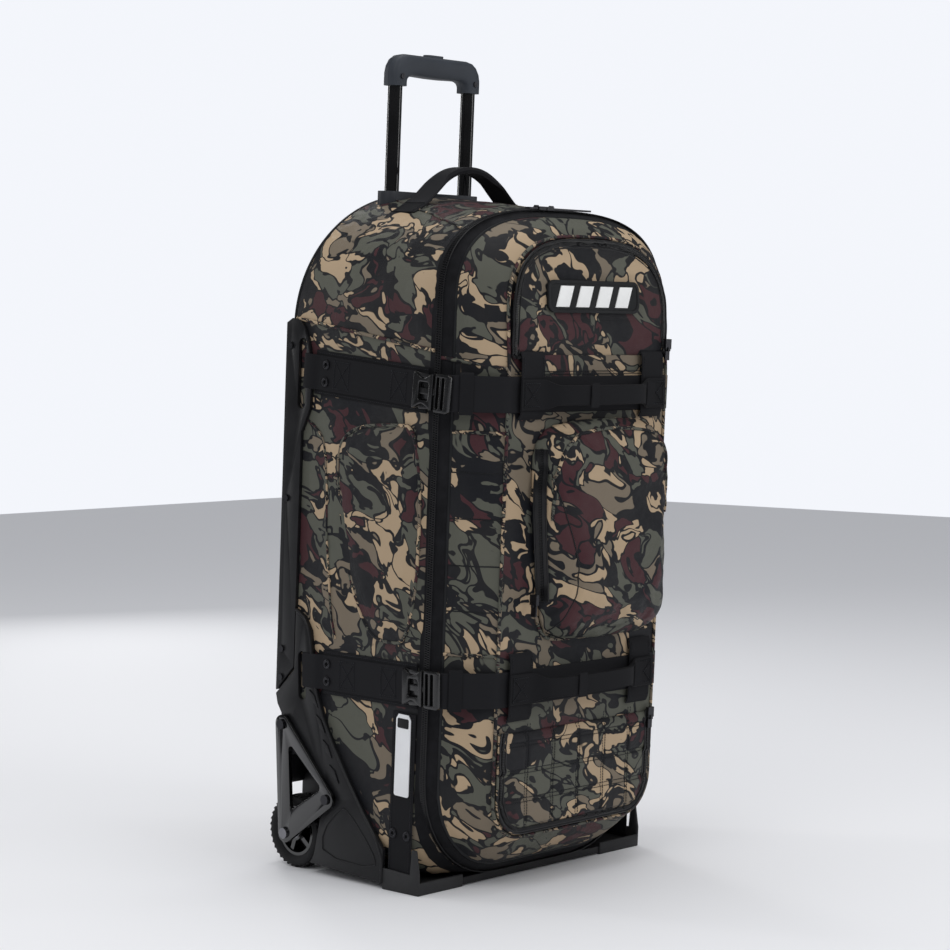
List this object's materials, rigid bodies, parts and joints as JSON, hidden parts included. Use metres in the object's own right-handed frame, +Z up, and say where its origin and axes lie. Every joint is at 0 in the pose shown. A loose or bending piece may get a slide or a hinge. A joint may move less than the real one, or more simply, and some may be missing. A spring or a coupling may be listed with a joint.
{
  "type": "rolling duffel bag",
  "caption": "Tall wheeled duffel bag: padded fabric body in a moulded sled, telescopic pull handle, zipped hinged front lid, pockets, compression straps and haul handles.",
  "frame": {"origin": "floor level, on the middle plane, close to the middle of the bag's depth", "axes": "+Z up, the front lid faces -Y, +X is the lid's hinge side, seen as the right from the front"},
  "size_m": [0.4398, 0.4152, 1.054],
  "materials": {
    "camo_fabric": "printed woven polyester with a light coating",
    "lining_fabric": "plain woven nylon",
    "zip_tape": "woven tape with a moulded coil",
    "webbing": "heavy woven nylon webbing",
    "sled_plastic": "fine-grained moulded plastic",
    "foot_plastic": "fine-grained moulded plastic",
    "bracket_plastic": "polished moulded plastic",
    "buckle_plastic": "satin acetal",
    "grip_plastic": "satin moulded plastic",
    "tube_metal": "gloss black anodised aluminium",
    "steel": "dark zinc plate",
    "slider_metal": "nickel plate",
    "tyre_rubber": "moulded rubber tread",
    "badge_rubber": "soft moulded rubber with white raised bars",
    "plug_plastic": "plain moulded plastic",
    "tag_plastic": "smooth white sheet"
  },
  "bodies": {
    "bag": {"back_panel": "camo_fabric", "top_yoke": "camo_fabric", "side_wall_left": "camo_fabric", "side_wall_right": "camo_fabric", "bottom_wall": "lining_fabric", "tube_cover": "lining_fabric", "base_tray": "sled_plastic", "side_plate_left": "sled_plastic", "side_plate_right": "sled_plastic", "rail_left": "sled_plastic", "rail_right": "sled_plastic", "foot_left": "foot_plastic", "foot_right": "foot_plastic", "wheel_bracket_left": "bracket_plastic", "wheel_bracket_right": "bracket_plastic", "wheel_axles": "steel", "bracket_bolts": "steel", "rail_screws": "steel", "outer_tubes": "tube_metal", "handle_bezel": "grip_plastic", "side_pads": "camo_fabric", "zip_tape_body": "zip_tape", "side_bands": "webbing", "strap_upper_left": "webbing", "strap_lower_left": "webbing", "straps_right": "webbing", "buckle_sockets": "buckle_plastic", "side_webbings": "webbing", "strap_rivets": "steel", "id_tag": "tag_plastic", "carry_handle": "webbing"},
    "handle": {"inner_tubes": "tube_metal", "grip_front_shell": "grip_plastic", "grip_rear_shell": "grip_plastic", "grip_screws": "steel", "tube_plugs": "plug_plastic"},
    "button": {"release_button": "grip_plastic", "release_rods": "steel"},
    "wheel_left": {"tyre_left": "tyre_rubber", "rim_left": "bracket_plastic", "bearings_left": "steel"},
    "wheel_right": {"tyre_right": "tyre_rubber", "rim_right": "bracket_plastic", "bearings_right": "steel"},
    "lid": {"lid_gusset": "camo_fabric", "lid_front": "camo_fabric", "zip_tape_lid": "zip_tape", "top_pocket": "camo_fabric", "big_pocket": "camo_fabric", "lower_pocket": "camo_fabric", "badge": "badge_rubber", "haul_handle_upper": "webbing", "haul_handle_lower": "webbing", "lid_straps": "webbing", "buckle_prongs": "buckle_plastic"},
    "zip_left": {"zip_slider_left": "slider_metal"},
    "zip_right": {"zip_slider_right": "slider_metal"},
    "top_pocket_zip": {"top_pocket_slider": "slider_metal"},
    "big_pocket_zip": {"big_pocket_slider": "slider_metal"},
    "lower_pocket_zip": {"lower_pocket_slider": "slider_metal"}
  },
  "joints": [
    {"name": "handle_slide", "type": "slide", "parent": "bag", "child": "handle", "axis": [0, -0.0523, 0.9986], "range_m": [-0.13, 0]},
    {"name": "button_press", "type": "slide", "parent": "handle", "child": "button", "axis": [0, -0.0523, 0.9986], "range_m": [-0.004, 0], "stiffness_N_per_m": 500, "springref_m": 0.008},
    {"name": "wheel_left_spin", "type": "hinge", "parent": "bag", "child": "wheel_left", "pos_m": [-0.185, 0.156, 0.047], "axis": [1, 0, 0], "continuous": true},
    {"name": "wheel_right_spin", "type": "hinge", "parent": "bag", "child": "wheel_right", "pos_m": [0.185, 0.156, 0.047], "axis": [1, 0, 0], "continuous": true},
    {"name": "lid_hinge", "type": "hinge", "parent": "bag", "child": "lid", "pos_m": [0.206, -0.0974, 0.42549], "axis": [0, -0.0523, 0.9986], "range_deg": [0, 110]},
    {"name": "zip_left_slide", "type": "slide", "parent": "bag", "child": "zip_left", "axis": [1, 0, 0], "range_m": [-0.045, 0]},
    {"name": "zip_right_slide", "type": "slide", "parent": "bag", "child": "zip_right", "axis": [1, 0, 0], "range_m": [0, 0.045]},
    {"name": "top_pocket_slide", "type": "slide", "parent": "lid", "child": "top_pocket_zip", "axis": [0, -0.0523, 0.9986], "range_m": [0, 0.04]},
    {"name": "big_pocket_slide", "type": "slide", "parent": "lid", "child": "big_pocket_zip", "axis": [0, -0.0523, 0.9986], "range_m": [0, 0.15]},
    {"name": "lower_pocket_slide", "type": "slide", "parent": "lid", "child": "lower_pocket_zip", "axis": [0, -0.0523, 0.9986], "range_m": [-0.05, 0]}
  ]
}
